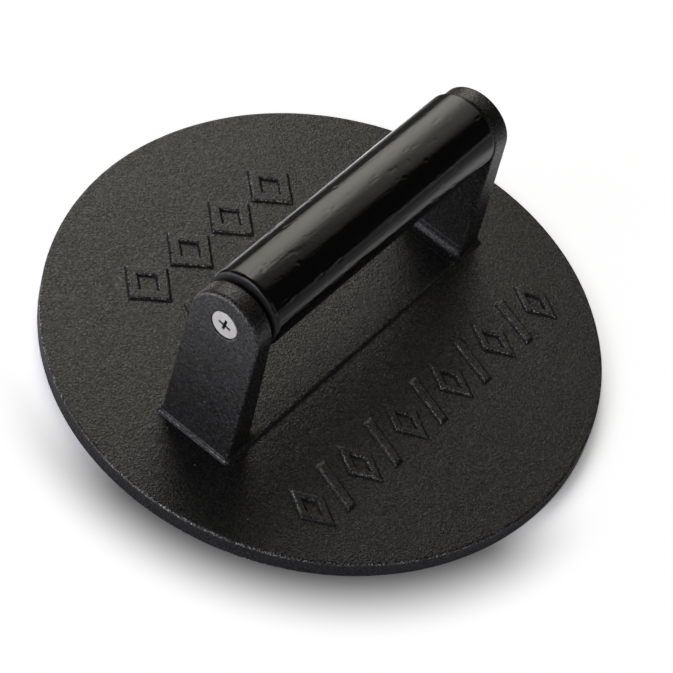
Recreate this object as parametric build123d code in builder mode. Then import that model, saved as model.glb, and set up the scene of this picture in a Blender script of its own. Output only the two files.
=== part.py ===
from build123d import *
import math
import os

# Round patty press: one iron casting with two posts, a turned wooden grip on
# an internally threaded tie sleeve, and a countersunk screw in each post.
#
# Frame: origin at the centre of the pressing face (underside of the plate),
# +Z up, +X along the grip from the near post to the far post, -Y to the front.
# All sizes are in millimetres.

os.makedirs("parts", exist_ok=True)

# Pressing plate
PLATE_R = 90.0            # radius at the pressing face
PLATE_DRAFT = 0.15        # the rim leans in by this much over its height
PLATE_T = 6.5             # thickness
RIM_R_TOP = 0.8           # rounding of the upper rim edge
RIM_R_BOTTOM = 0.8        # rounding of the lower rim edge

# Raised strap that ties the two posts together
STRAP_H = 1.0             # height above the plate
STRAP_BURY = 0.5          # reach into the plate
STRAP_HALF_X = 64.6
STRAP_HALF_Y = 14.1
STRAP_CORNER = 1.2        # corner radius seen from above
STRAP_EDGE = 0.45         # rounding of its upper edge

# Posts; x sizes are distances from the middle of the press
AXIS_Z = 58.5             # height of the grip axis above the pressing face
POST_OUT_FOOT = 63.8      # x of the outer face at the strap
POST_OUT_AXIS = 61.3      # x of the outer face at the grip axis
POST_IN_FOOT = 53.2       # x of the inner face at the strap
POST_IN_AXIS = 53.9       # x of the inner face at the grip axis
POST_HALF_FOOT = 13.3     # half width across the press at the strap
POST_TOP_R = 12.6         # radius of the rounded top
POST_TOP_Z = 56.5         # height of that radius's centre
POST_EDGE = 1.2           # rounding along the posts' edges
POST_FOOT_FILLET = 4.0    # cast fillet between inner face and strap
POST_BURY = 0.6           # the posts' feet reach this far into the strap

FOOT_Z = PLATE_T + STRAP_H
ROOT_Z = FOOT_Z - POST_BURY
POST_MAX_Z = POST_TOP_Z + POST_TOP_R

# Screws, M5 countersunk with a cross recess
SCREW_LEN = 16.0          # overall length, head included
SCREW_HEAD_R = 4.6
SCREW_HEAD_BREAK = 0.12   # small chamfer at the rim of the head face
SCREW_LAND = 0.3          # thin cylindrical land at the head's edge
SCREW_R = 2.48            # thread crest radius
SCREW_ROOT_R = 2.06       # thread root radius
SCREW_PITCH = 0.8
SCREW_PLAIN = 0.9         # plain length between head and thread
SCREW_RUNOUT = 0.7        # no full thread ends nearer the tip than this
SCREW_TIP_CHAMFER = 0.4
SCREW_SINK = 0.25         # head face sits this far below the post's face

HEAD_X = POST_OUT_AXIS - SCREW_SINK       # x of the head's flat face
LAND_X = HEAD_X - SCREW_LAND              # x where the head's cone begins
CONE_X = LAND_X - (SCREW_HEAD_R - SCREW_R)  # x where it meets the shank
TIP_X = HEAD_X - SCREW_LEN

# Cross recess
RECESS_DEPTH = 2.4
RECESS_OVERCUT = 0.2      # the cutter starts this far outside the head face
RECESS_HALF = 2.45        # half length of each wing at the cutter's start
RECESS_W = 1.0            # wing width at the cutter's start
RECESS_FLOOR_HALF = 0.75
RECESS_FLOOR_W = 0.45

# Tie sleeve
SLEEVE_HALF = 54.5        # half length, seat to seat
SLEEVE_R = 4.0            # outer radius
SLEEVE_BORE_R = 2.5       # threaded bore, nominal radius
SLEEVE_THREAD = 20.0      # threaded depth from each end
SLEEVE_CORE_R = 2.1       # bore between the two threads
SLEEVE_CHAMFER = 0.3      # outer end chamfer
SLEEVE_LEAD_IN = 0.4      # chamfer at the bore's mouth
SLEEVE_THREAD_RUNOUT = 0.4

# Screw hole and sleeve seat in each post
HOLE_R = 2.75             # clearance hole
SINK_R = 4.75             # countersink mouth radius
SINK_OVERCUT = 3.0        # the cutter runs this far past the outer face
SEAT_R = 5.0              # spot-face on the inner side
SEAT_CUT_X = 50.0         # where the spot-face cutter starts

# Grip
GRIP_R = 13.0
GRIP_HALF = 53.0
GRIP_EDGE = 1.4           # rounding at each end
GRIP_CLEARANCE = 0.08     # radial clearance on the sleeve
GRIP_BORE_R = SLEEVE_R + GRIP_CLEARANCE
GRIP_BORE_CHAMFER = 0.8

# Relief on the top of the plate (plain ornament)
RELIEF_H = 1.0
RELIEF_BURY = 0.2         # reach into the plate
RELIEF_RISE = RELIEF_H + RELIEF_BURY
RELIEF_TAPER = 22.0       # draft of the relief's flanks, degrees
RELIEF_EDGE = 0.3         # rounding of the upper edges
BAND_Y = -41.8            # centre line of the front band
BAND_PITCH = 11.5
BAND_COUNT = 11
BAND_TALL = 17.0
EMBLEM_Y = 48.5           # centre line of the rear lozenges
EMBLEM_PITCH = 20.0
EMBLEM_COUNT = 4
EMBLEM_TALL = 20.0
TICK_Y = 32.2             # centre line of the ticks
TICK_PITCH = 7.0
TICK_COUNT = 9

GRIP_AXIS = Axis((0, 0, AXIS_Z), (1, 0, 0))


def about_grip_axis(profile, side=1):
    """Turn (distance along X, radius) pairs into XZ points on the given side."""
    return [(side * x, AXIS_Z + radius) for x, radius in profile]


def save(part, name):
    """Label a piece and write its STEP file."""
    part.label = name
    export_step(part, f"parts/{name}.step")


# ---------------------------------------------------------------------------
# One post, on the +X side
# ---------------------------------------------------------------------------
def face_x(foot_x, axis_x, z):
    """x at height z of a post face given at the strap and at the grip axis."""
    return foot_x + (z - FOOT_Z) / (AXIS_Z - FOOT_Z) * (axis_x - foot_x)


def x_outer(z):
    return face_x(POST_OUT_FOOT, POST_OUT_AXIS, z)


def x_inner(z):
    return face_x(POST_IN_FOOT, POST_IN_AXIS, z)


def make_post():
    # The side lines run from the foot to a tangent point on the rounded top.
    rise = POST_TOP_Z - FOOT_Z
    foot_distance = math.hypot(POST_HALF_FOOT, rise)
    tangent_angle = math.acos(POST_TOP_R / foot_distance) + math.atan2(-rise, POST_HALF_FOOT)
    tangent_y = POST_TOP_R * math.cos(tangent_angle)
    tangent_z = POST_TOP_Z + POST_TOP_R * math.sin(tangent_angle)
    # The same side line carried down into the strap
    side_slope = (POST_HALF_FOOT - tangent_y) / (tangent_z - FOOT_Z)
    root_y = POST_HALF_FOOT + side_slope * POST_BURY

    # Inner foot fillet, tangent to the strap's top and to the leaning inner face
    lean = math.atan2(POST_IN_AXIS - POST_IN_FOOT, AXIS_Z - FOOT_Z)
    half_sweep = (math.pi / 2 - lean) / 2
    setback = POST_FOOT_FILLET * math.tan(half_sweep)
    fillet_x = POST_IN_FOOT - setback
    mid_angle = half_sweep - math.pi / 2
    fillet_start = (fillet_x, FOOT_Z)
    fillet_mid = (
        fillet_x + POST_FOOT_FILLET * math.cos(mid_angle),
        FOOT_Z + POST_FOOT_FILLET * (1 + math.sin(mid_angle)),
    )
    fillet_end = (
        POST_IN_FOOT + setback * math.sin(lean),
        FOOT_Z + setback * math.cos(lean),
    )

    blank_margin = 2.0            # spare length of the blank at each end
    section_half_y = 30.0         # the section spans more than the post's width
    section_top = POST_MAX_Z + 1  # and stands above its top
    outer_edge_min_z = FOOT_Z + 2  # leaves out the outer face's bottom edge
    inner_edge_min_z = FOOT_Z + 8  # leaves out the edges of the foot fillet
    inner_edge_max_x = POST_IN_AXIS + 1.5
    inner_edge_min_length = 5

    with BuildPart() as post:
        # Outline seen along the grip
        with BuildSketch(Plane.YZ.offset(POST_IN_FOOT - POST_FOOT_FILLET - blank_margin)):
            with BuildLine():
                Line((-tangent_y, tangent_z), (-root_y, ROOT_Z))
                Line((-root_y, ROOT_Z), (root_y, ROOT_Z))
                Line((root_y, ROOT_Z), (tangent_y, tangent_z))
                ThreePointArc((tangent_y, tangent_z), (0, POST_MAX_Z), (-tangent_y, tangent_z))
            make_face()
        extrude(amount=POST_OUT_FOOT - POST_IN_FOOT + POST_FOOT_FILLET + 2 * blank_margin)
        # Section seen from the side: drafted faces and the filleted inner foot
        with BuildSketch(Plane.XZ.offset(-section_half_y)):
            with BuildLine():
                ThreePointArc(fillet_start, fillet_mid, fillet_end)
                Line(fillet_end, (x_inner(section_top), section_top))
                Line((x_inner(section_top), section_top), (x_outer(section_top), section_top))
                Line((x_outer(section_top), section_top), (x_outer(ROOT_Z), ROOT_Z))
                Line((x_outer(ROOT_Z), ROOT_Z), (fillet_x, ROOT_Z))
                Line((fillet_x, ROOT_Z), fillet_start)
            make_face()
        extrude(amount=2 * section_half_y, mode=Mode.INTERSECT)
        # Rounded edges around the outer face, then around the inner face
        outer_face = post.faces().sort_by(Axis.X)[-1]
        fillet(
            outer_face.edges().filter_by(lambda e: e.center().Z > outer_edge_min_z),
            POST_EDGE,
        )
        fillet(
            post.edges().filter_by(
                lambda e: e.center().Z > inner_edge_min_z
                and e.center().X < inner_edge_max_x
                and e.length > inner_edge_min_length
            ),
            POST_EDGE,
        )
    return post.part


# ---------------------------------------------------------------------------
# Relief ornaments: leaning bars, pierced lozenges and ticks
# ---------------------------------------------------------------------------
def lozenge(half_w, half_h):
    return [(half_w, 0), (0, half_h), (-half_w, 0), (0, -half_h)]


def leaning_bar(outer_x, inner_x, half_h):
    """Foot from -outer_x to -inner_x, head from inner_x to outer_x."""
    return [(-outer_x, -half_h), (-inner_x, -half_h), (outer_x, half_h), (inner_x, half_h)]


def centred_row(count, pitch, y):
    return [((i - (count - 1) / 2) * pitch, y) for i in range(count)]


def make_relief():
    band = centred_row(BAND_COUNT, BAND_PITCH, BAND_Y)
    band_lozenges = band[0::2]
    band_bars = band[1::2]
    emblems = centred_row(EMBLEM_COUNT, EMBLEM_PITCH, EMBLEM_Y)
    ticks = centred_row(TICK_COUNT, TICK_PITCH, TICK_Y)

    # places, outline, corner radius
    raised = [
        (band_lozenges, lozenge(5.4, BAND_TALL / 2 + 0.6), 0.9),
        (band_bars, leaning_bar(4.6, 0.9, BAND_TALL / 2), 0.9),
        (emblems, lozenge(9.2, EMBLEM_TALL / 2), 1.2),
    ]
    piercings = [
        (band_lozenges, lozenge(2.6, 4.6), 0.5),
        (emblems, lozenge(4.4, 4.9), 0.6),
    ]
    tick_outline = leaning_bar(3.0, 0.2, 3.2)
    tick_corner = 0.5

    with BuildPart() as relief:
        for places, outline, corner in raised:
            with BuildSketch(Plane.XY.offset(PLATE_T - RELIEF_BURY)) as shapes:
                with Locations(*places):
                    Polygon(*outline)
                fillet(shapes.vertices(), corner)
            extrude(amount=RELIEF_RISE, taper=RELIEF_TAPER)
        for places, outline, corner in piercings:
            with BuildSketch(Plane.XY.offset(PLATE_T + RELIEF_H)) as shapes:
                with Locations(*places):
                    Polygon(*outline)
                fillet(shapes.vertices(), corner)
            extrude(amount=-RELIEF_RISE, taper=RELIEF_TAPER, mode=Mode.SUBTRACT)
        # Softened upper edges, as cast
        fillet(relief.faces().filter_by(Axis.Z).group_by(Axis.Z)[-1].edges(), RELIEF_EDGE)
        # Ticks between the rear lozenges and the strap come last, so they stay sharp
        with BuildSketch(Plane.XY.offset(PLATE_T - RELIEF_BURY)) as shapes:
            with Locations(*ticks):
                Polygon(*tick_outline)
            fillet(shapes.vertices(), tick_corner)
        extrude(amount=RELIEF_RISE, taper=RELIEF_TAPER)
    return relief.part


# ---------------------------------------------------------------------------
# The casting: plate, strap, two posts and relief
# ---------------------------------------------------------------------------
def make_base_casting():
    post = make_post()
    relief = make_relief()
    # Spot-face, clearance hole and countersink as (x, radius)
    hole_profile = [
        (SEAT_CUT_X, 0),
        (SEAT_CUT_X, SEAT_R),
        (SLEEVE_HALF, SEAT_R),
        (SLEEVE_HALF, HOLE_R),
        (LAND_X - (SINK_R - HOLE_R), HOLE_R),
        (LAND_X, SINK_R),
        (POST_OUT_AXIS + SINK_OVERCUT, SINK_R),
        (POST_OUT_AXIS + SINK_OVERCUT, 0),
    ]

    with BuildPart() as casting:
        # Plate
        with BuildSketch(Plane.XZ):
            with BuildLine():
                Polyline(
                    (0, 0), (PLATE_R, 0), (PLATE_R - PLATE_DRAFT, PLATE_T), (0, PLATE_T),
                    close=True,
                )
            make_face()
        revolve(axis=Axis.Z)
        fillet(casting.edges().group_by(Axis.Z)[-1], RIM_R_TOP)
        fillet(casting.edges().group_by(Axis.Z)[0], RIM_R_BOTTOM)
        # Strap
        with BuildSketch(Plane.XY.offset(PLATE_T - STRAP_BURY)):
            RectangleRounded(2 * STRAP_HALF_X, 2 * STRAP_HALF_Y, STRAP_CORNER)
        extrude(amount=STRAP_H + STRAP_BURY)
        fillet(casting.faces().filter_by(Axis.Z).sort_by(Axis.Z)[-1].edges(), STRAP_EDGE)
        add(post)
        add(mirror(post, about=Plane.YZ, mode=Mode.PRIVATE))
        add(relief)
        # Hole and seat in each post
        for side in (1, -1):
            with BuildSketch(Plane.XZ):
                with BuildLine():
                    Polyline(*about_grip_axis(hole_profile, side), close=True)
                make_face()
            revolve(axis=GRIP_AXIS, mode=Mode.SUBTRACT)
    return casting.part


# ---------------------------------------------------------------------------
# Turned wooden grip with a through bore
# ---------------------------------------------------------------------------
def make_grip():
    with BuildPart() as grip:
        with BuildSketch(Plane.YZ.offset(-GRIP_HALF)):
            with Locations((0, AXIS_Z)):
                Circle(GRIP_R)
        extrude(amount=2 * GRIP_HALF)
        fillet(grip.edges().filter_by(GeomType.CIRCLE), GRIP_EDGE)
        with BuildSketch(Plane.YZ.offset(-GRIP_HALF)):
            with Locations((0, AXIS_Z)):
                Circle(GRIP_BORE_R)
        extrude(amount=2 * GRIP_HALF, mode=Mode.SUBTRACT)
        circles = grip.edges().filter_by(GeomType.CIRCLE)
        chamfer(
            circles.filter_by(lambda e: abs(e.radius - GRIP_BORE_R) < 0.01),
            GRIP_BORE_CHAMFER,
        )
    return grip.part


# ---------------------------------------------------------------------------
# Tie sleeve, threaded at both ends (threads shown at their nominal radius)
# ---------------------------------------------------------------------------
def make_sleeve():
    thread_end = SLEEVE_HALF - SLEEVE_THREAD
    # +X half of the wall as (x, radius), from the outside round to the bore
    half_profile = [
        (SLEEVE_HALF - SLEEVE_CHAMFER, SLEEVE_R),
        (SLEEVE_HALF, SLEEVE_R - SLEEVE_CHAMFER),
        (SLEEVE_HALF, SLEEVE_BORE_R + SLEEVE_LEAD_IN),
        (SLEEVE_HALF - SLEEVE_LEAD_IN, SLEEVE_BORE_R),
        (thread_end, SLEEVE_BORE_R),
        (thread_end - SLEEVE_THREAD_RUNOUT, SLEEVE_CORE_R),
    ]
    outline = about_grip_axis(half_profile) + about_grip_axis(half_profile[::-1], side=-1)

    with BuildPart() as sleeve:
        with BuildSketch(Plane.XZ):
            with BuildLine():
                Polyline(*outline, close=True)
            make_face()
        revolve(axis=GRIP_AXIS)
    return sleeve.part


# ---------------------------------------------------------------------------
# Countersunk screws; the threads are plain rings, not helical
# ---------------------------------------------------------------------------
def screw_profile():
    """Half section as (x, radius), from the head face to the tip."""
    profile = [
        (HEAD_X, 0),
        (HEAD_X, SCREW_HEAD_R - SCREW_HEAD_BREAK),
        (HEAD_X - SCREW_HEAD_BREAK, SCREW_HEAD_R),
        (LAND_X, SCREW_HEAD_R),
        (CONE_X, SCREW_R),
    ]
    x = CONE_X - SCREW_PLAIN
    profile.append((x, SCREW_R))
    while x - SCREW_PITCH > TIP_X + SCREW_RUNOUT:
        # Root halfway along the pitch, then a short flat crest
        profile.append((x - 0.5 * SCREW_PITCH, SCREW_ROOT_R))
        profile.append((x - 0.9 * SCREW_PITCH, SCREW_R))
        x -= SCREW_PITCH
        profile.append((x, SCREW_R))
    profile.append((TIP_X + SCREW_TIP_CHAMFER, SCREW_ROOT_R))
    profile.append((TIP_X, SCREW_ROOT_R - SCREW_TIP_CHAMFER))
    profile.append((TIP_X, 0))
    return profile


def cross_points(half, width):
    """Plus-shaped outline with wings of the given half length and width."""
    w = width / 2
    return [
        (half, -w), (half, w), (w, w), (w, half), (-w, half), (-w, w),
        (-half, w), (-half, -w), (-w, -w), (-w, -half), (w, -half), (w, -w),
    ]


def recess_plane(side, depth, turn):
    """Plane across the screw's axis, a given depth below the head face."""
    angle = math.radians(turn)
    return Plane(
        origin=(side * (HEAD_X - depth), 0, AXIS_Z),
        x_dir=(0, math.cos(angle), math.sin(angle)),
        z_dir=(side, 0, 0),
    )


def make_screw(side, turn):
    """Screw on the given side (+1 or -1 in X), its recess turned by degrees."""
    # depth, half length, width
    recess_sections = [
        (-RECESS_OVERCUT, RECESS_HALF, RECESS_W),
        (RECESS_DEPTH, RECESS_FLOOR_HALF, RECESS_FLOOR_W),
    ]
    with BuildPart() as screw:
        with BuildSketch(Plane.XZ):
            with BuildLine():
                Polyline(*about_grip_axis(screw_profile(), side), close=True)
            make_face()
        revolve(axis=GRIP_AXIS)
        for depth, half, width in recess_sections:
            with BuildSketch(recess_plane(side, depth, turn)):
                Polygon(*cross_points(half, width), align=None)
        loft(mode=Mode.SUBTRACT)
    return screw.part


save(make_base_casting(), "base_casting")
save(make_grip(), "handle_grip")
save(make_sleeve(), "tie_sleeve")
save(make_screw(side=-1, turn=8.0), "handle_screw_near")
save(make_screw(side=1, turn=31.0), "handle_screw_far")
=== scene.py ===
"""A hand press: a round cast-iron plate with raised patterns, and a wooden handle.

The plate lies on the floor (z = 0), centred on the origin. A strap crosses its top along X
and carries a post at each end. The turned grip lies between the posts, along X, on a tie
sleeve held by a countersunk screw in each post. The camera looks from -X, a little from -Y
and from above. Shapes are worked out in millimetres; materials and the stage use metres.
"""
import math
from functools import cached_property

import bmesh
import bpy
import numpy as np
from mathutils import Matrix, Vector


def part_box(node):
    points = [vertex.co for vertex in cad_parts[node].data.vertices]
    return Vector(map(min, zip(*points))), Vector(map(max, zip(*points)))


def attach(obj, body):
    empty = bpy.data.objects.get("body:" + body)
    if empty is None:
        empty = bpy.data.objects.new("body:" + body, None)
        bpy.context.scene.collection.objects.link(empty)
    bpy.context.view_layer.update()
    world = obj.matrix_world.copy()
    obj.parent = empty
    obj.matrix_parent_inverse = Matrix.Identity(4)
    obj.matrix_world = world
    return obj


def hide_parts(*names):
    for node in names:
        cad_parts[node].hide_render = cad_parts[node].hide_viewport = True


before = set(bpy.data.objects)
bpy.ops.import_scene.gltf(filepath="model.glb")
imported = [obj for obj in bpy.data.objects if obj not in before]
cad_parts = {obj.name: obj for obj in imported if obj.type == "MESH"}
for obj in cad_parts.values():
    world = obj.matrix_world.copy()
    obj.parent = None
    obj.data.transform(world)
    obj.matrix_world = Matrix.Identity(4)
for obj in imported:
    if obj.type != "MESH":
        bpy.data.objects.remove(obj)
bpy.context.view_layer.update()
MM = 0.001
f32 = np.float32

# ---------------------------------------------------------------------------
# Sizes, in millimetres
# ---------------------------------------------------------------------------
GRIP_LO, GRIP_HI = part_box("handle_grip")
SCREW_LO, SCREW_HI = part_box("handle_screw_near")
SCREW_FACE_X = max(abs(SCREW_LO.x), abs(SCREW_HI.x)) / MM
SLEEVE_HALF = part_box("tie_sleeve")[1].x / MM
AXIS_Z = (GRIP_LO.z + GRIP_HI.z) / 2 / MM

PLATE_R, PLATE_T = 90.0, 6.5
PLATE_DRAFT = 0.15  # how much the radius shrinks from bottom to top
RIM_R = 0.8

STRAP_TOP = 7.5
STRAP_BASE_Z = 4  # sunk into the plate
STRAP_HALF_X, STRAP_HALF_Y = 64.6, 14.1
STRAP_CORNER, STRAP_EDGE = 1.2, 0.45

# |x| of a post's outer and inner faces, at the strap and at the handle's axis
POST_OUT_FOOT, POST_OUT_AXIS = 63.8, 61.3
POST_IN_FOOT, POST_IN_AXIS = 53.2, 53.9
POST_HALF_FOOT, POST_TOP_R = 13.3, 12.6
POST_TOP_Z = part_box("base_casting")[1].z / MM - POST_TOP_R
POST_BASE_Z = 5
POST_EDGE = 1.2
FILLET_R, FILLET_EDGE = 4.0, 0.9  # fillet on the post's inner side
OUT_LEAN = (POST_OUT_AXIS - POST_OUT_FOOT) / (AXIS_Z - STRAP_TOP)
IN_LEAN = (POST_IN_AXIS - POST_IN_FOOT) / (AXIS_Z - STRAP_TOP)
SIDE_ANGLE = math.atan((POST_HALF_FOOT - POST_TOP_R) / (POST_TOP_Z - STRAP_TOP))
FILLET_X = POST_IN_FOOT - FILLET_R * math.tan((math.pi / 2 - math.atan(IN_LEAN)) / 2)
FILLET_Z = STRAP_TOP + FILLET_R

HOLE_R, SINK_R, SEAT_R = 2.75, 4.75, 5.0
SCREW_SINK, SCREW_LAND = 0.25, 0.3
SINK_X = POST_OUT_AXIS - SCREW_SINK - SCREW_LAND - (SINK_R - HOLE_R)  # narrow end of the cone
HOLE_INNER_X = 48

GRIP_HALF = GRIP_HI.x / MM
GRIP_R = (GRIP_HI.z - GRIP_LO.z) / 2 / MM
GRIP_BORE_R, GRIP_EDGE = 4.08, 1.4
BORE_CHAMFER, BORE_DEPTH = 0.8, 30

RELIEF_H, RELIEF_EDGE, RELIEF_BASE_Z = 1.0, 0.35, 5
RELIEF_TAN = math.tan(math.radians(22.0))
RELIEF_SCALE = 0.93  # keeps the sloping flank's field near a true distance
RELIEF_GROW = 0.15
RELIEF_FAR = 30.0  # value away from every pattern
BAND_TALL, EMBLEM_TALL, TICK_TALL = 17.0, 20.0, 6.0

# as-cast waviness: amplitude, wavelength, shift in x, shift in y, seed
CAST_WAVES = ((0.060, 19.0, 0, 0, 11), (0.016, 7.1, 7, 0, 23), (0.009, 2.1, 0, 3, 37))

GRID_LO = np.array([-91.7, -91.7, -1.3])
GRID_HI = np.array([91.7, 91.7, 70.9])
GRID_CELL = 0.42
TRIANGLE_LIMIT = 190000


# ---------------------------------------------------------------------------
# Smooth lattice noise, the same on every run
# ---------------------------------------------------------------------------
def lattice_value(i, j, k, seed):
    bits = (i * 374761393 + j * 668265263 + k * 2147483647 + seed * 1274126177) & 0xFFFFFFFF
    bits = ((bits ^ (bits >> 13)) * 1274126177) & 0xFFFFFFFF
    bits = bits ^ (bits >> 16)
    return (bits & 0xFFFF).astype(f32) / 32767.5 - 1.0


def lattice_noise(x, y, z, seed):
    cells, weights = [], []
    for values in (x, y, z):
        floor_values = np.floor(values)
        t = (values - floor_values).astype(f32)
        t = t * t * t * (t * (t * 6 - 15) + 10)
        cells.append(floor_values.astype(np.int64))
        weights.append((1 - t, t))
    total = np.zeros(len(x), f32)
    for i in (0, 1):
        for j in (0, 1):
            for k in (0, 1):
                weight = weights[0][i] * weights[1][j] * weights[2][k]
                total += weight * lattice_value(cells[0] + i, cells[1] + j, cells[2] + k, seed)
    return total


# ---------------------------------------------------------------------------
# Distance-field tools. Arrays are single precision, negative inside.
# ---------------------------------------------------------------------------
def smooth_union(a, b, blend):
    near = np.maximum(blend - np.abs(a - b), 0) / blend
    return np.minimum(a, b) - near * near * blend * 0.25


def smooth_cut(a, b, blend):
    """Intersection with a softened edge."""
    near = np.maximum(blend - np.abs(a - b), 0) / blend
    return np.maximum(a, b) + near * near * blend * 0.25


def corner(a, b):
    """Distance to a square corner, from the distances to its two sides."""
    return np.minimum(np.maximum(a, b), 0) + np.hypot(np.maximum(a, 0), np.maximum(b, 0))


def round_cut(a, b, radius):
    """Intersection with a round edge."""
    return corner(a + radius, b + radius) - radius


def polygon(x, y, points):
    """Signed distance to a polygon given counter-clockwise."""
    distance = np.full(len(x), 1e9, f32)
    inside = np.zeros(len(x), bool)
    for i, (ax, ay) in enumerate(points):
        bx, by = points[(i + 1) % len(points)]
        ex, ey = bx - ax, by - ay
        wx, wy = x - ax, y - ay
        t = np.clip((wx * ex + wy * ey) / (ex * ex + ey * ey), 0, 1)
        dx, dy = wx - t * ex, wy - t * ey
        distance = np.minimum(distance, dx * dx + dy * dy)
        cross = ex * wy - ey * wx
        level = (y >= min(ay, by)) & (y < max(ay, by))
        inside ^= level & ((cross < 0) if ey < 0 else (cross > 0))
    distance = np.sqrt(distance)
    return np.where(inside, -distance, distance)


# ---------------------------------------------------------------------------
# Raised patterns on the plate, seen from above
# ---------------------------------------------------------------------------
def lozenge(x, y, half_x, half_y):
    return polygon(x, y, [(half_x, 0), (0, half_y), (-half_x, 0), (0, -half_y)])


def pierced_lozenge(x, y, outer, inner):
    return smooth_cut(lozenge(x, y, *outer), -lozenge(x, y, *inner), blend=0.5)


def slanted_bar(x, y, far, near, half):
    """A bar leaning towards +X; far and near are |x| of its corners."""
    return polygon(x, y, [(-far, -half), (-near, -half), (far, half), (near, half)])


def band(x, y, index):
    """Lozenges and bars by turns."""
    ring = pierced_lozenge(x, y, outer=(5.2, BAND_TALL / 2 + 0.3), inner=(2.3, 4.2))
    bar = slanted_bar(x, y, far=4.3, near=1.1, half=BAND_TALL / 2 - 0.2)
    return np.where(index % 2 == 0, ring, bar)


def emblem(x, y, index):
    return pierced_lozenge(x, y, outer=(8.9, EMBLEM_TALL / 2 - 0.3), inner=(3.9, 4.5))


def tick(x, y, index):
    return slanted_bar(x, y, far=2.8, near=0.4, half=TICK_TALL / 2)


# rows along X: y of the row, its height, pitch, count, figure
RELIEF_ROWS = (
    (-41.8, BAND_TALL, 11.5, 11, band),
    (48.5, EMBLEM_TALL, 20, 4, emblem),
    (32.2, TICK_TALL, 7, 9, tick),
)


def relief_outline(x, y):
    """Signed distance to the foot outline of the raised patterns."""
    outline = np.full(len(x), RELIEF_FAR, f32)
    for row_y, tall, pitch, count, figure in RELIEF_ROWS:
        near = np.abs(y - row_y) < tall / 2 + 3
        if near.any():
            from_first = x[near] + pitch * (count - 1) / 2
            index = np.clip(np.rint(from_first / pitch), 0, count - 1)
            distance = figure(from_first - index * pitch, y[near] - row_y, index)
            outline[near] = np.minimum(outline[near], distance)
    return outline - RELIEF_GROW


# ---------------------------------------------------------------------------
# The casting as one distance field
# ---------------------------------------------------------------------------
def plate_field(radius, z):
    side = radius - (PLATE_R - PLATE_DRAFT / PLATE_T * z) + RIM_R
    return corner(side, np.abs(z - PLATE_T / 2) - (PLATE_T / 2 - RIM_R)) - RIM_R


def strap_field(across_x, across_y, z):
    outline = corner(
        across_x - (STRAP_HALF_X - STRAP_CORNER), across_y - (STRAP_HALF_Y - STRAP_CORNER)
    ) - STRAP_CORNER
    return np.maximum(round_cut(outline, z - STRAP_TOP, STRAP_EDGE), STRAP_BASE_Z - z)


def post_field(across_x, across_y, z):
    """A leaning post with a round top and a fillet at the inner side of its foot."""
    rise = z - STRAP_TOP
    outer = across_x - (POST_OUT_FOOT + OUT_LEAN * rise)
    inner = (POST_IN_FOOT + IN_LEAN * rise) - across_x
    half = POST_HALF_FOOT - math.tan(SIDE_ANGLE) * rise
    side = (across_y - half) * math.cos(SIDE_ANGLE)
    top = np.hypot(across_y, z - POST_TOP_Z) - POST_TOP_R
    outline = np.where(z > POST_TOP_Z, top, side)
    post = round_cut(outline, np.maximum(outer, inner), POST_EDGE)
    post = np.maximum(post, POST_BASE_Z - z)

    fillet = np.maximum(FILLET_X - across_x, z - FILLET_Z)
    fillet = np.maximum(fillet, across_x - (POST_IN_FOOT + 3))
    fillet = np.maximum(fillet, FILLET_R - np.hypot(across_x - FILLET_X, z - FILLET_Z))
    fillet = np.maximum(round_cut(fillet, outline, FILLET_EDGE), POST_BASE_Z - z)
    return smooth_union(post, fillet, blend=0.6)


def screw_hole_field(across_x, y, z):
    """A countersunk hole, with the sleeve's seat at its inner end."""
    from_axis = np.hypot(y, z - AXIS_Z)
    hole_radius = np.clip(HOLE_R + (across_x - SINK_X), HOLE_R, SINK_R)
    hole = (from_axis - hole_radius) * 0.8  # keeps the cone's slope near a true distance
    seat = np.maximum(from_axis - SEAT_R, across_x - SLEEVE_HALF)
    return np.maximum(np.minimum(hole, seat), HOLE_INNER_X - across_x)


def relief_field(x, y, z):
    flank = (relief_outline(x, y) + (z - PLATE_T) * RELIEF_TAN) * RELIEF_SCALE
    top = z - (PLATE_T + RELIEF_H)
    return np.maximum(round_cut(flank, top, RELIEF_EDGE), RELIEF_BASE_Z - z)


def waviness(x, y, z):
    """As-cast unevenness, none on the underside or in the screws' seats."""
    waves = sum(
        size * lattice_noise(x / length + shift_x, y / length + shift_y, z / length, seed)
        for size, length, shift_x, shift_y, seed in CAST_WAVES
    )
    fade = np.clip((z - 1.2) / 2.0, 0, 1)
    from_axis = np.where(np.abs(x) > 45, np.hypot(y, z - AXIS_Z), 99)
    return waves * (fade * np.clip((from_axis - 5.2) / 2.0, 0, 1))


def field(points, wavy=True):
    """Signed distance to the casting. Masks limit each costly part to its surroundings."""
    x, y, z = points[:, 0], points[:, 1], points[:, 2]
    across_x, across_y = np.abs(x), np.abs(y)
    radius = np.hypot(x, y)
    distance = plate_field(radius, z)
    distance = smooth_union(distance, strap_field(across_x, across_y, z), blend=0.7)
    near = (across_x > 40) & (across_y < 20) & (z > 3)
    if near.any():
        post = post_field(across_x[near], across_y[near], z[near])
        hole = screw_hole_field(across_x[near], y[near], z[near])
        solid = smooth_union(distance[near], post, blend=1.0)
        distance[near] = smooth_cut(solid, -hole, blend=0.3)
    near = (z > 4.5) & (z < 10) & (radius < 84) & (across_y > 20)
    if near.any():
        relief = relief_field(x[near], y[near], z[near])
        distance[near] = smooth_union(distance[near], relief, blend=0.40)
    if wavy:
        distance = distance - waviness(x, y, z)
    return distance


def field_in_chunks(points, wavy=True, chunk=400000):
    values = np.empty(len(points), f32)
    for start in range(0, len(points), chunk):
        values[start : start + chunk] = field(points[start : start + chunk], wavy)
    return values


def axis_offset(axis, length):
    offset = np.zeros(3, f32)
    offset[axis] = length
    return offset


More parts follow.
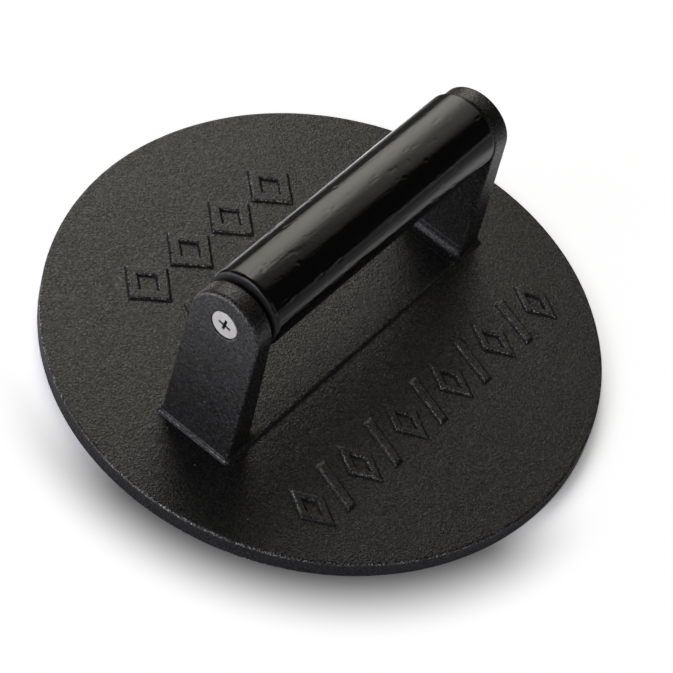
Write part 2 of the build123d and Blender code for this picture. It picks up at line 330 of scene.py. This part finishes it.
def gradient(points, reach):
    slopes = np.empty((len(points), 3), f32)
    for axis in range(3):
        offset = axis_offset(axis, reach)
        rise = field_in_chunks(points + offset) - field_in_chunks(points - offset)
        slopes[:, axis] = rise / (2 * reach)
    return slopes


def project(points, cell, rounds):
    """Moves points onto the zero surface, at most half a cell a round."""
    points = points.copy()
    for _ in range(rounds):
        distance = field_in_chunks(points)
        slopes = gradient(points, reach=0.06)
        steepness = np.maximum((slopes * slopes).sum(1), 0.3)
        move = np.clip(distance / steepness, -0.5 * cell, 0.5 * cell)
        points -= slopes * move[:, None]
    return points


def sample_grid(cell):
    """Field values on a grid, exact only in the blocks near the surface, a sign elsewhere."""
    block = 4  # grid points along a block's side
    blocks = np.ceil((GRID_HI - GRID_LO) / (cell * block)).astype(int) + 1
    centres = [
        (GRID_LO[a] + (np.arange(blocks[a]) * block + (block - 1) / 2) * cell).astype(f32)
        for a in range(3)
    ]
    centres = [part.ravel() for part in np.meshgrid(*centres, indexing="ij")]
    coarse = field_in_chunks(np.stack(centres, 1), False).reshape(blocks)
    values = np.where(coarse < 0, f32(-1), f32(1))
    for axis in range(3):
        values = np.repeat(values, block, axis)
    values = np.ascontiguousarray(values)
    active = np.argwhere(np.abs(coarse) < cell * block * 1.25 + 0.3)
    within = np.stack(np.meshgrid(*[np.arange(block)] * 3, indexing="ij"), -1).reshape(-1, 3)
    batch = 8000
    for start in range(0, len(active), batch):
        corners = active[start : start + batch, None, :] * block
        index = (corners + within[None]).reshape(-1, 3)
        exact = field((GRID_LO + index * cell).astype(f32), False)
        values[index[:, 0], index[:, 1], index[:, 2]] = exact
    return values


def surface_net(cell):
    """Closed quad mesh of the zero surface: a point per crossed cell, a quad per crossed edge."""
    values = sample_grid(cell)
    solid = values < 0
    _, size_y, size_z = values.shape
    cell_ids, crossings, quads = [], [], []
    for axis in range(3):
        first, second = [slice(None)] * 3, [slice(None)] * 3
        first[axis], second[axis] = slice(0, -1), slice(1, None)
        start = np.argwhere(solid[tuple(first)] != solid[tuple(second)])
        end = start.copy()
        end[:, axis] += 1
        start_value = values[start[:, 0], start[:, 1], start[:, 2]]
        end_value = values[end[:, 0], end[:, 1], end[:, 2]]
        crossing = start.astype(np.float64)
        crossing[:, axis] += start_value / (start_value - end_value)
        around = []
        for step_b, step_c in ((-1, -1), (0, -1), (0, 0), (-1, 0)):
            cells = start.copy()
            cells[:, (axis + 1) % 3] += step_b
            cells[:, (axis + 2) % 3] += step_c
            around.append((cells[:, 0] * size_y + cells[:, 1]) * size_z + cells[:, 2])
        around = np.stack(around, 1)
        flip = start_value > 0
        around[flip] = around[flip][:, ::-1]
        cell_ids.append(around.ravel())
        crossings.append(np.repeat(crossing, 4, 0))
    crossings = np.concatenate(crossings)
    used, index = np.unique(np.concatenate(cell_ids), return_inverse=True)
    count = np.bincount(index, minlength=len(used))
    points = np.stack(
        [np.bincount(index, crossings[:, a], len(used)) / count for a in range(3)], 1
    )
    return (GRID_LO + points * cell).astype(f32), index.reshape(-1, 4)


# ---------------------------------------------------------------------------
# Mesh tools
# ---------------------------------------------------------------------------
def quad_mesh(name, points, quads):
    mesh = bpy.data.meshes.new(name)
    mesh.vertices.add(len(points))
    mesh.vertices.foreach_set("co", np.ascontiguousarray(points, f32).ravel())
    mesh.loops.add(quads.size)
    mesh.loops.foreach_set("vertex_index", np.ascontiguousarray(quads, np.int32).ravel())
    mesh.polygons.add(len(quads))
    mesh.polygons.foreach_set("loop_start", np.arange(0, quads.size, 4, dtype=np.int32))
    mesh.update(calc_edges=True)
    mesh.validate()
    return mesh


def grid_quads(rows, columns, closed):
    """Quads over a grid of points, joined end to end both ways if closed."""
    gap = 0 if closed else 1
    i, j = np.meshgrid(np.arange(rows - gap), np.arange(columns - gap), indexing="ij")
    next_i, next_j = (i + 1) % rows, (j + 1) % columns
    corners = ((i, j), (i, next_j), (next_i, next_j), (next_i, j))
    return np.stack([row * columns + column for row, column in corners], -1).reshape(-1, 4)


def point_attribute(mesh, name, values):
    mesh.attributes.new(name, "FLOAT", "POINT").data.foreach_set("value", values.astype(f32))


def shade_smooth(mesh):
    for face in mesh.polygons:
        face.use_smooth = True


def add_object(name, data):
    made = bpy.data.objects.new(name, data)
    bpy.context.scene.collection.objects.link(made)
    return made


# ---------------------------------------------------------------------------
# Meshes of the casting and the grip
# ---------------------------------------------------------------------------
def thin_out(body, ratio):
    """Replaces the body's mesh by a decimated one."""
    dense = body.data
    body.modifiers.new("thin", "DECIMATE").ratio = ratio
    depsgraph = bpy.context.evaluated_depsgraph_get()
    body_thin = bpy.data.meshes.new_from_object(body.evaluated_get(depsgraph))
    body.modifiers.clear()
    body.data = body_thin
    bpy.data.meshes.remove(dense)
    body_thin.name = "cast_body"


def bulge(points, reach=0.7):
    """How sharply the surface bulges, for worn edges."""
    total = -6 * field_in_chunks(points, False)
    for axis in range(3):
        offset = axis_offset(axis, reach)
        ahead = field_in_chunks(points + offset, False)
        total += ahead + field_in_chunks(points - offset, False)
    total /= reach * reach
    return np.clip(total, -3, 3)


def build_casting():
    points, quads = surface_net(GRID_CELL)
    points = project(points, GRID_CELL, rounds=2)
    body = add_object("cast_body", quad_mesh("cast_body", points * MM, quads))
    triangles = 2 * len(quads)
    if triangles > TRIANGLE_LIMIT:
        thin_out(body, TRIANGLE_LIMIT / triangles)
    mesh = body.data
    points = np.empty(len(mesh.vertices) * 3, f32)
    mesh.vertices.foreach_get("co", points)
    points = project(points.reshape(-1, 3) / MM, 0.3, rounds=1)
    mesh.vertices.foreach_set("co", (points * MM).ravel())
    point_attribute(mesh, "bulge", bulge(points))
    normals = gradient(points, reach=0.10)
    normals /= np.maximum(np.linalg.norm(normals, axis=1), 1e-6)[:, None]
    shade_smooth(mesh)
    mesh.normals_split_custom_set_from_vertices(normals.astype(float).tolist())
    mesh.update()
    return body


def grip_profile():
    """(x, radius) from the bore at -X, over the outside, to the bore at +X."""
    stations = 300
    face_parts, edge_parts = 9, 8
    face_r = GRIP_BORE_R + BORE_CHAMFER
    end = [
        (-GRIP_HALF + BORE_DEPTH, GRIP_BORE_R),
        (-GRIP_HALF + BORE_CHAMFER, GRIP_BORE_R),
    ]
    face_width = GRIP_R - GRIP_EDGE - GRIP_BORE_R - BORE_CHAMFER
    for k in range(face_parts):
        end.append((-GRIP_HALF, face_r + face_width * k / face_parts))
    for k in range(edge_parts + 1):
        angle = math.pi / 2 * k / edge_parts
        end.append((
            -GRIP_HALF + GRIP_EDGE * (1 - math.cos(angle)),
            GRIP_R - GRIP_EDGE + GRIP_EDGE * math.sin(angle),
        ))
    body = np.linspace(-GRIP_HALF + GRIP_EDGE, GRIP_HALF - GRIP_EDGE, stations)[1:-1]
    # the first and last points lie in the bore and are joined by the bore's wall
    return end + [(x, GRIP_R) for x in body] + [(-x, radius) for x, radius in reversed(end)]


def grip_unevenness(x, angle):
    """Turned-wood waviness, open pores under the lacquer and a few dents."""
    def noise(around, along, seed, shift=0):
        return lattice_noise(
            np.cos(angle) * around + shift, np.sin(angle) * around, x / along, seed
        )

    height = 0.026 * noise(around=2.1, along=19.0, seed=5)
    height = height + 0.009 * noise(around=7.5, along=7.0, seed=6)
    pores = noise(around=17.0, along=5.5, seed=8)
    dents = noise(around=12.0, along=2.6, seed=9, shift=5)
    height -= 0.040 * np.clip((pores - 0.58) / 0.30, 0, 1) ** 1.3
    height -= 0.055 * np.clip((dents - 0.64) / 0.20, 0, 1) ** 1.3
    return np.minimum(height, 0.05)


def build_grip():
    segments = 240
    profile = np.array(grip_profile())
    turn = np.arange(segments) * 2 * math.pi / segments
    x, angle = (part.ravel() for part in np.meshgrid(profile[:, 0], turn, indexing="ij"))
    radius = np.repeat(profile[:, 1], segments)
    outside = np.clip((radius - (GRIP_R - 0.5)) / 0.5, 0, 1)
    radius = radius + grip_unevenness(x, angle) * outside
    points = np.stack([x, radius * np.cos(angle), AXIS_Z + radius * np.sin(angle)], -1)
    mesh = quad_mesh("wood_grip", points * MM, grid_quads(len(profile), segments, closed=True))
    edit = bmesh.new()
    edit.from_mesh(mesh)
    bmesh.ops.recalc_face_normals(edit, faces=edit.faces)
    edit.to_mesh(mesh)
    edit.free()
    shade_smooth(mesh)
    mesh.set_sharp_from_angle(angle=math.radians(32))
    # 1 on the lacquered outside, 0 on the dry ends and in the bore
    from_axis = np.hypot(points[:, 1], points[:, 2] - AXIS_Z)
    point_attribute(mesh, "gloss", np.clip((from_axis - (GRIP_R - 0.75)) / 0.35, 0, 1))
    return add_object("wood_grip", mesh)


# ---------------------------------------------------------------------------
# Shader graph
# ---------------------------------------------------------------------------
class Graph:
    """Short calls that add nodes. Any value may be a number or another node's output."""

    def __init__(self, tree):
        self.tree = tree

    def feed(self, socket, value):
        if isinstance(value, bpy.types.NodeSocket):
            self.tree.links.new(value, socket)
        else:
            socket.default_value = value

    def node(self, kind, inputs, **settings):
        made = self.tree.nodes.new("ShaderNode" + kind)
        for name, value in settings.items():
            setattr(made, name, value)
        for key, value in inputs.items():
            self.feed(made.inputs[key], value)
        return made

    @cached_property
    def position(self):
        return self.node("TexCoord", {}).outputs["Object"]

    def mapped(self, scale=(1.0, 1.0, 1.0), location=(0.0, 0.0, 0.0)):
        inputs = {"Vector": self.position, "Scale": scale, "Location": location}
        return self.node("Mapping", inputs).outputs[0]

    def noise(self, scale, detail=2.0, roughness=0.5, distortion=0.0, vector=None):
        return self.node("TexNoise", {
            "Vector": vector or self.position,
            "Scale": scale,
            "Detail": detail,
            "Roughness": roughness,
            "Distortion": distortion,
        }).outputs["Fac"]

    def cells(self, scale):
        return self.node("TexVoronoi", {"Vector": self.position, "Scale": scale}).outputs

    def ramp(self, source, span, to=(0.0, 1.0), smooth=True):
        """Maps the span of the source to another, level beyond its ends."""
        return self.node("MapRange", {
            "Value": source,
            "From Min": span[0],
            "From Max": span[1],
            "To Min": to[0],
            "To Max": to[1],
        }, interpolation_type="SMOOTHSTEP" if smooth else "LINEAR").outputs["Result"]

    def window(self, source, rise, fall):
        """0, then 1 from the end of rise to the start of fall, then 0."""
        return self.times(self.ramp(source, rise), self.invert(self.ramp(source, fall)))

    def calc(self, operation, *values):
        return self.node("Math", dict(enumerate(values)), operation=operation).outputs[0]

    def times(self, first, *others):
        for other in others:
            first = self.calc("MULTIPLY", first, other)
        return first

    def plus(self, a, b):
        return self.calc("ADD", a, b)

    def minus(self, a, b):
        return self.calc("SUBTRACT", a, b)

    def invert(self, value):
        return self.minus(1.0, value)

    def mix(self, amount, a, b):
        return self.node("Mix", {0: amount, 6: a, 7: b}, data_type="RGBA").outputs[2]

    def attribute(self, name):
        return self.node("Attribute", {}, attribute_name=name).outputs["Fac"]

    def xyz(self, vector):
        return self.node("SeparateXYZ", {0: vector}).outputs

    def bumps(self, *layers):
        """Stacks bumps, each (height, depth in metres, strength), and gives the normal."""
        normal = None
        for height, depth, strength in layers:
            inputs = {"Height": height, "Distance": depth, "Strength": strength}
            if normal is not None:
                inputs["Normal"] = normal
            normal = self.node("Bump", inputs).outputs[0]
        return normal

    def surface(self, shader):
        self.node("OutputMaterial", {"Surface": shader.outputs[0]})


def new_material(name):
    material = bpy.data.materials.new(name)
    material.use_nodes = True
    material.node_tree.nodes.clear()
    return material, Graph(material.node_tree)


def rgb(red, green, blue):
    return (red, green, blue, 1.0)


# ---------------------------------------------------------------------------
# Materials
# ---------------------------------------------------------------------------
def cast_material():
    material, g = new_material("cast_iron_black")
    grain = g.noise(scale=1500.0, roughness=0.6)
    sand = g.noise(scale=2100.0, detail=1.0)
    bulging = g.attribute("bulge")
    facing = g.xyz(g.node("NewGeometry", {}).outputs["True Normal"])
    raised = g.ramp(g.xyz(g.position)[2], span=(0.0072, 0.0110))  # above the plate

    # the upright faces, the raised posts most, get lighter grain specks, a painted sparkle where
    # light would glint on them, and a higher specular level
    upright = g.ramp(g.calc("ABSOLUTE", facing[2], 0.0), span=(0.35, 0.85), to=(1.0, 0.0))
    upright_sparkle = g.times(upright, g.plus(g.times(raised, 0.75), 0.25))
    scuff = g.noise(scale=1300.0, roughness=0.6)
    worn = g.times(g.ramp(bulging, span=(0.35, 1.0)), g.ramp(scuff, span=(0.50, 0.62)))
    # on the plate's sharpest edges, where they face -X, worn metal is painted with bright specks:
    # a painted glint of the fill light on that side
    worn_edge_glint = g.times(
        g.ramp(bulging, span=(0.50, 0.90)),
        g.ramp(g.noise(scale=1900.0, roughness=0.6), span=(0.53, 0.61)),
        g.times(g.ramp(g.times(facing[0], -1.0), span=(0.05, 0.45)), g.invert(raised)),
        g.ramp(g.noise(scale=70.0), span=(0.40, 0.56), to=(0.15, 1.0)),
    )
    # a few bright grains of sand
    cells = g.cells(scale=620.0)
    pick = g.node("TexWhiteNoise", {"Vector": cells["Position"]}, noise_dimensions="3D")
    bright_grains = g.times(
        g.ramp(cells["Distance"], span=(0.12, 0.22), to=(1.0, 0.0)),
        g.ramp(pick.outputs["Value"], span=(0.965, 0.975)),
    )

    mottle = g.ramp(g.noise(scale=260.0, detail=3.0, roughness=0.6), span=(0.3, 0.75))
    colour = g.mix(mottle, rgb(0.0095, 0.0094, 0.0090), rgb(0.0165, 0.0163, 0.0150))
    coats = (  # amount, colour laid over what is below
        (g.ramp(g.noise(scale=22.0), span=(0.35, 0.75), to=(0.0, 0.30)),
         rgb(0.021, 0.0205, 0.0185)),
        (g.ramp(sand, span=(0.54, 0.68), to=(0.0, 0.8)), rgb(0.052, 0.0515, 0.050)),
        # painted sparkle: grain specks lighter on the upright faces
        (g.times(upright_sparkle, g.ramp(grain, span=(0.52, 0.66), to=(0.0, 0.85))),
         rgb(0.070, 0.069, 0.068)),
        (g.times(worn, 0.9), rgb(0.13, 0.128, 0.128)),
        # painted glint on the worn edges that face -X
        (worn_edge_glint, rgb(0.62, 0.61, 0.61)),
        (bright_grains, rgb(0.20, 0.195, 0.185)),
    )
    for amount, coat in coats:
        colour = g.mix(amount, colour, coat)

    rough_noise = g.noise(scale=600.0, detail=3.0, roughness=0.65)
    roughness = g.ramp(rough_noise, span=(0.3, 0.7), to=(0.22, 0.32))
    # pits between the sand grains hold less light
    gloss = g.ramp(grain, span=(0.34, 0.66), to=(0.26, 0.86), smooth=False)
    pebbles = g.ramp(g.cells(scale=1900.0)["Distance"], span=(0.05, 0.62), to=(1.0, 0.0))
    g.surface(g.node("BsdfPrincipled", {
        "Base Color": colour,
        "Roughness": g.minus(roughness, g.times(worn, 0.08)),
        "IOR": 1.6,
        "Specular IOR Level": g.times(gloss, g.plus(g.times(upright_sparkle, 0.40), 0.53)),
        # sand-cast skin: rounded grains with finer grit on them
        "Normal": g.bumps(
            (g.noise(scale=330.0), 0.00007, 0.8),
            (grain, 0.00013, 1.0),
            (pebbles, 0.00004, 1.0),
            (sand, 0.00005, 0.9),
        ),
    }))
    return material


def lacquer_material():
    """Glossy black on the outside, dry dark wood with rings at the ends. Grain runs along X."""
    material, g = new_material("lacquered_wood_black")
    lacquered = g.attribute("gloss")
    streak = g.noise(scale=110.0, detail=4.0, roughness=0.6, distortion=0.2,
                     vector=g.mapped(scale=(0.09, 1.0, 1.0)))
    pores = g.noise(scale=900.0, vector=g.mapped(scale=(0.055, 1.0, 1.0)))
    figure = g.noise(scale=240.0, detail=3.0, roughness=0.55,
                     vector=g.mapped(scale=(0.10, 1.0, 1.0)))
    rings = g.node("TexWave", {
        "Vector": g.mapped(location=(0.0, 0.021, -0.047)),
        "Scale": 120.0,
        "Distortion": 6.0,
        "Detail": 3.0,
        "Detail Scale": 40.0,
    }, wave_type="RINGS", rings_direction="X").outputs["Fac"]
    shiny = g.mix(g.ramp(streak, span=(0.35, 0.7)),
                  rgb(0.0022, 0.0020, 0.0019), rgb(0.0075, 0.0058, 0.0050))
    dry = g.mix(g.ramp(rings, span=(0.2, 0.9)),
                rgb(0.012, 0.011, 0.012), rgb(0.022, 0.020, 0.022))

    shiny_noise = g.noise(scale=140.0, detail=3.0, roughness=0.6)
    dry_noise = g.noise(scale=900.0, roughness=0.6)
    roughness = g.node("Mix", {
        0: lacquered,
        2: g.ramp(dry_noise, span=(0.3, 0.7), to=(0.50, 0.66)),
        3: g.ramp(shiny_noise, span=(0.3, 0.75), to=(0.09, 0.17)),
    }).outputs[0]
    pits = g.times(g.ramp(pores, span=(0.60, 0.74)), -0.5)
    g.surface(g.node("BsdfPrincipled", {
        "Base Color": g.mix(lacquered, dry, shiny),
        "Roughness": roughness,
        "IOR": 1.5,
        "Normal": g.bumps(
            (g.plus(g.times(figure, 0.6), pits), 0.00004, 0.9),
            (g.noise(scale=520.0, roughness=0.55), 0.00003, 0.8),
            (g.noise(scale=1700.0, roughness=0.6), 0.00002, 0.6),
        ),
    }))
    return material


def screw_recess_shade_mask(g, face):
    """1 in the recess of a screw head whose face lies at |x| = face, in millimetres: where
    painted shade goes.
    """
    x, y, z = g.xyz(g.position)
    depth = g.minus(face * MM, g.calc("ABSOLUTE", x))
    height = g.minus(z, AXIS_Z * MM)
    from_axis = g.calc("SQRT", g.plus(g.times(y, y), g.times(height, height)))
    return g.times(
        g.ramp(depth, span=(0.00006, 0.00045)),
        g.ramp(from_axis, span=(0.0027, 0.0030), to=(1.0, 0.0)),
    )


def steel_material(name, tint, roughness, metallic, face=None):
    """Steel; with a face given, the screw's recess is painted dark and less metallic, as painted
    shade.
    """
    material, g = new_material(name)
    cloud = g.ramp(g.noise(scale=900.0, roughness=0.6), span=(0.3, 0.75))
    colour = g.mix(cloud, rgb(*[part * 0.93 for part in tint]), rgb(*tint))
    metal = metallic
    if face is not None:
        # painted shade in the screw's recess
        recess = screw_recess_shade_mask(g, face)
        colour = g.mix(recess, colour, rgb(0.030, 0.026, 0.023))
        metal = g.minus(metallic, g.times(recess, 0.8 * metallic))
    rough_noise = g.noise(scale=2600.0, roughness=0.6)
    grit = g.noise(scale=2100.0, detail=3.0, roughness=0.6)
    g.surface(g.node("BsdfPrincipled", {
        "Base Color": colour,
        "Metallic": metal,
        "Roughness": g.ramp(rough_noise, span=(0.3, 0.75), to=roughness),
        "Normal": g.bumps((grit, 0.00002, 0.4)),
    }))
    return material


# ---------------------------------------------------------------------------
# Pieces
# ---------------------------------------------------------------------------
def place(piece, material, rides, replaces):
    piece.data.materials.append(material)
    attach(piece, rides)
    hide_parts(replaces)


def recoat(name, material):
    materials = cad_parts[name].data.materials
    materials.clear()
    materials.append(material)


place(build_casting(), cast_material(), "press", "base_casting")
place(build_grip(), lacquer_material(), "grip", "handle_grip")

zinc = steel_material("zinc_steel", tint=(1.0, 0.98, 0.93), roughness=(0.40, 0.54),
                      metallic=0.6, face=SCREW_FACE_X)
for screw in ("handle_screw_near", "handle_screw_far"):
    recoat(screw, zinc)
recoat("tie_sleeve", steel_material(
    "sleeve_steel", tint=(0.52, 0.52, 0.51), roughness=(0.28, 0.42), metallic=1.0))

# ---------------------------------------------------------------------------
# Light: soft panels on a sphere round the press. Azimuths run from +X towards +Y.
# ---------------------------------------------------------------------------
DOME_R = 1.5
DOME_CENTRE = (0.0, 0.0, 0.03)
AMBIENT = 0.03

# the key box: azimuth, brightness
KEY_ACROSS = (
    (-30, 0), (-22, 0.34), (-15, 0.56), (-2, 0.86), (12, 0.92),
    (19, 1.02), (25, 1.32), (30, 1.72), (35, 2.20), (39, 2.52),
    (45, 2.90), (50, 2.90), (56, 2.55), (62, 1.6), (68, 0),
)
# the key box: elevation, brightness
KEY_UP = (
    (0, 0), (2, 0.04), (4, 0.11), (6.5, 0.34), (8.5, 0.47),
    (13.5, 0.76), (19.5, 0.87), (26, 0.97), (34, 1),
)
# patches of light: brightness, azimuth stops, elevation stops (see window)
KEY_PATCHES = (
    (1.5, (34, 44, 58, 68), (45, 51, 58, 66)),
    (0.65, (58, 68, 84, 100), (3, 8, 36, 50)),
    (0.75, (14, 22, 36, 42), (5, 8)),
)
FILL_PATCHES = (
    (2.1, (80, 140, 150, 170), (5, 12)),
    (2.5, (150, 170, 185, 215), (5, 12)),
    (2.1, (120, 150, 180, 195), (6, 10, 14, 24)),
    (3.2, (138, 150, 172, 186), (18, 24, 36, 44)),
)
FRONT_PATCHES = (
    (0.70, (216, 250, 286, 302), (5, 12)),
    (0.55, (298, 306, 326, 340), (2, 9)),
    (0.26, (205, 222, 282, 296), (10, 16, 34, 46)),
)


def ease(values, low, high):
    t = np.clip((values - low) / (high - low), 0, 1)
    return t * t * (3 - 2 * t)


def window(values, *stops):
    """Rises between the first two stops and falls between the last two; two stops only fall."""
    fall = 1 - ease(values, *stops[-2:])
    return fall if len(stops) == 2 else ease(values, *stops[:2]) * fall


def key_box(azimuth, elevation):
    """A tall soft box towards +X +Y, dim at the top and cut out below on its +X side."""
    box = np.interp(azimuth, *zip(*KEY_ACROSS)) * np.interp(elevation, *zip(*KEY_UP))
    cut = window(azimuth, 22, 34) * window(elevation, 33, 44)
    return box * (1 - 0.92 * ease(elevation, 48, 63)) * (1 - cut)


def glow_material(name, tint):
    material, g = new_material(name)
    g.surface(g.node("Emission", {"Color": rgb(*tint), "Strength": g.attribute("glow")}))
    return material


def dome(name, azimuths, elevations, tint, patches, base=None):
    """Adds a glowing panel hidden from the camera; returns the light it sheds on the floor."""
    columns = max(2, int((azimuths[1] - azimuths[0]) / 2.5))
    rows = max(2, int((elevations[1] - elevations[0]) / 2.0))
    azimuth, elevation = np.meshgrid(
        np.linspace(*azimuths, columns + 1), np.linspace(*elevations, rows + 1), indexing="ij"
    )
    glow = base(azimuth, elevation) if base else 0.0
    for gain, across, up in patches:
        glow = glow + gain * (window(azimuth, *across) * window(elevation, *up))

    a, e = np.radians(azimuth), np.radians(elevation)
    points = np.stack([np.cos(e) * np.cos(a), np.cos(e) * np.sin(a), np.sin(e)], -1)
    points = (points * DOME_R + np.array(DOME_CENTRE)).reshape(-1, 3)
    quads = grid_quads(columns + 1, rows + 1, closed=False)
    quads = quads[glow.ravel()[quads].max(1) > 0.005]
    used, index = np.unique(quads, return_inverse=True)
    mesh = quad_mesh(name, points[used], index.reshape(-1, 4))
    point_attribute(mesh, "glow", glow.ravel()[used])
    mesh.materials.append(glow_material(name, tint))
    panel = add_object(name, mesh)
    panel.visible_camera = False
    panel.visible_shadow = False

    patch_angle = (math.radians((azimuths[1] - azimuths[0]) / columns)
                   * math.radians((elevations[1] - elevations[0]) / rows))
    return float((glow * np.sin(e) * np.cos(e)).sum() * patch_angle) * (sum(tint) / 3)


# ---------------------------------------------------------------------------
# Floor
# ---------------------------------------------------------------------------
FLOOR_HALF = 6
FLOOR_DROP = 0.00002
FLOOR_ALBEDO = 0.8
FLOOR_OVEREXPOSURE = 1.10


def build_floor():
    mesh = bpy.data.meshes.new("floor")
    signs = ((-1, -1), (1, -1), (1, 1), (-1, 1))
    corners = [(x * FLOOR_HALF, y * FLOOR_HALF, 0) for x, y in signs]
    mesh.from_pydata(corners, [], [(0, 1, 2, 3)])
    floor = add_object("floor", mesh)
    floor.location.z = -FLOOR_DROP
    return floor


def floor_reflection_glow(g, radius, azimuth):
    """Glow that the floor gives to reflections only, a painted reflection standing in for the
    light it sends back, kept off the contact shadow.
    """
    near_all = g.times(g.window(radius, rise=(0.096, 0.112), fall=(0.17, 0.23)), 0.15)
    near_key = g.times(  # towards the key box
        g.window(radius, rise=(0.088, 0.094), fall=(0.118, 0.140)),
        g.window(azimuth, rise=(-10, 10), fall=(100, 130)),
        1.1,
    )
    near_minus_y = g.times(
        g.window(radius, rise=(0.100, 0.115), fall=(0.15, 0.19)),
        g.window(azimuth, rise=(-82, -60), fall=(-32, -12)),
        0.35,
    )
    far_all = g.times(g.ramp(radius, span=(0.17, 0.23)), 0.03)
    far_minus_x = g.times(
        g.window(radius, rise=(0.17, 0.23), fall=(0.9, 1.3)),
        g.window(azimuth, rise=(112, 128), fall=(172, 179)),
        2.4,
    )
    near = g.plus(g.plus(near_all, near_key), near_minus_y)
    return g.plus(near, g.plus(far_all, far_minus_x))


def floor_material(gain):
    """Pale paper, lit by the gain as the camera sees it and pure pale further out."""
    material, g = new_material("floor_pale")
    rays = g.node("LightPath", {}).outputs
    camera_ray, glossy_ray = rays["Is Camera Ray"], rays["Is Glossy Ray"]
    length = g.node("VectorMath", {0: g.position}, operation="LENGTH")
    radius = length.outputs["Value"]
    x, y, _ = g.xyz(g.position)
    degrees = 180 / math.pi
    azimuth = g.times(g.calc("ARCTAN2", y, x), degrees)
    # bearing from -X towards -Y, the side away from the key light
    bearing = g.times(g.calc("ARCTAN2", g.times(y, -1.0), g.times(x, -1.0)), degrees)

    # towards the key box, past 13 cm, the floor is painted darker where reflections see it,
    # standing in for a darker room
    reflection_darkening = g.times(
        g.ramp(radius, span=(0.13, 0.20)),
        g.window(azimuth, rise=(-35, -10), fall=(100, 130)),
        0.85,
        glossy_ray,
    )
    exposure = g.ramp(camera_ray, span=(0.0, 1.0), to=(g.invert(reflection_darkening), gain), smooth=False)
    albedo = g.ramp(g.noise(scale=40.0), span=(0.0, 1.0), to=(0.79, 0.81), smooth=False)
    balance = (0.985, 1.0, 1.055)
    tinted = g.node("CombineXYZ", {k: g.times(albedo, part) for k, part in enumerate(balance)})
    colour = g.node("VectorMath", {0: tinted.outputs[0], "Scale": exposure}, operation="SCALE")
    paper = g.node("BsdfDiffuse", {"Color": colour.outputs[0]})

    # the soft shadow under the rim, lying away from the key light
    shaded_side = g.window(bearing, rise=(-40, 0), fall=(72, 98))
    under_rim = g.invert(g.ramp(radius, span=(0.0860, 0.1120)))
    shadow = g.times(under_rim, g.times(shaded_side, 0.93))
    pale = g.node("Emission", {"Strength": g.invert(shadow)})
    beyond_rim = g.plus(
        g.times(g.ramp(radius, span=(0.087, 0.101)), 0.93),
        g.times(g.ramp(radius, span=(0.2, 0.5)), 0.07),
    )
    pale_amount = g.invert(g.times(g.invert(shaded_side), g.invert(beyond_rim)))
    seen = g.node("MixShader", {
        0: g.times(pale_amount, camera_ray), 1: paper.outputs[0], 2: pale.outputs[0],
    })
    # the floor glows for glossy rays only: a painted reflection
    reflection_glow = g.node("Emission", {
        "Color": rgb(0.95, 0.95, 1.0),
        "Strength": g.times(floor_reflection_glow(g, radius, azimuth), glossy_ray),
    })
    g.surface(g.node("AddShader", {0: seen.outputs[0], 1: reflection_glow.outputs[0]}))
    material.cycles.emission_sampling = "NONE"
    return material


# ---------------------------------------------------------------------------
# World and camera
# ---------------------------------------------------------------------------
LENS, SENSOR_WIDTH = 129.7307, 36.0
CAMERA_MATRIX = (
    (0.620533687039528, 0.5376988933279913, -0.5708045579381642, -0.4360659542674759),
    (-0.7626293009787529, 0.5832703886580956, -0.2796286877330247, -0.21868303294753685),
    (0.1825773604195996, 0.6088313016168667, 0.7720038559707613, 0.5940124839696023),
    (0.0, 0.0, 0.0, 1.0),
)


def build_world():
    """White to the camera, a faint ambient light to everything else."""
    world = bpy.data.worlds.new("studio")
    bpy.context.scene.world = world
    world.use_nodes = True
    g = Graph(world.node_tree)
    background = world.node_tree.nodes["Background"].inputs
    background["Color"].default_value = rgb(1.0, 1.0, 1.0)
    camera_ray = g.node("LightPath", {}).outputs["Is Camera Ray"]
    strength = g.ramp(camera_ray, span=(0.0, 1.0), to=(AMBIENT, 1.0), smooth=False)
    g.feed(background["Strength"], strength)


def build_camera():
    data = bpy.data.cameras.new("photo_camera")
    data.sensor_width = SENSOR_WIDTH
    data.lens = LENS
    data.clip_start, data.clip_end = 0.01, 50
    camera = add_object("photo_camera", data)
    camera.matrix_world = Matrix(CAMERA_MATRIX)
    bpy.context.scene.camera = camera


floor = build_floor()
floor_light = sum([
    dome("key_panel", azimuths=(-32, 105), elevations=(0.5, 70),
         tint=(1.0, 0.965, 0.86), patches=KEY_PATCHES, base=key_box),
    dome("fill_panel", azimuths=(106, 215), elevations=(0.5, 44),
         tint=(0.895, 0.89, 1.0), patches=FILL_PATCHES),
    dome("front_sweep", azimuths=(204, 340), elevations=(0.5, 47),
         tint=(1.0, 0.975, 0.985), patches=FRONT_PATCHES),
]) + AMBIENT * math.pi
floor_gain = math.pi / (FLOOR_ALBEDO * floor_light) * FLOOR_OVEREXPOSURE
floor.data.materials.append(floor_material(floor_gain))
build_world()
build_camera()

view = bpy.context.scene.view_settings
view.view_transform = "Standard"
view.look = "None"
view.exposure = 0.0
view.gamma = 1.0
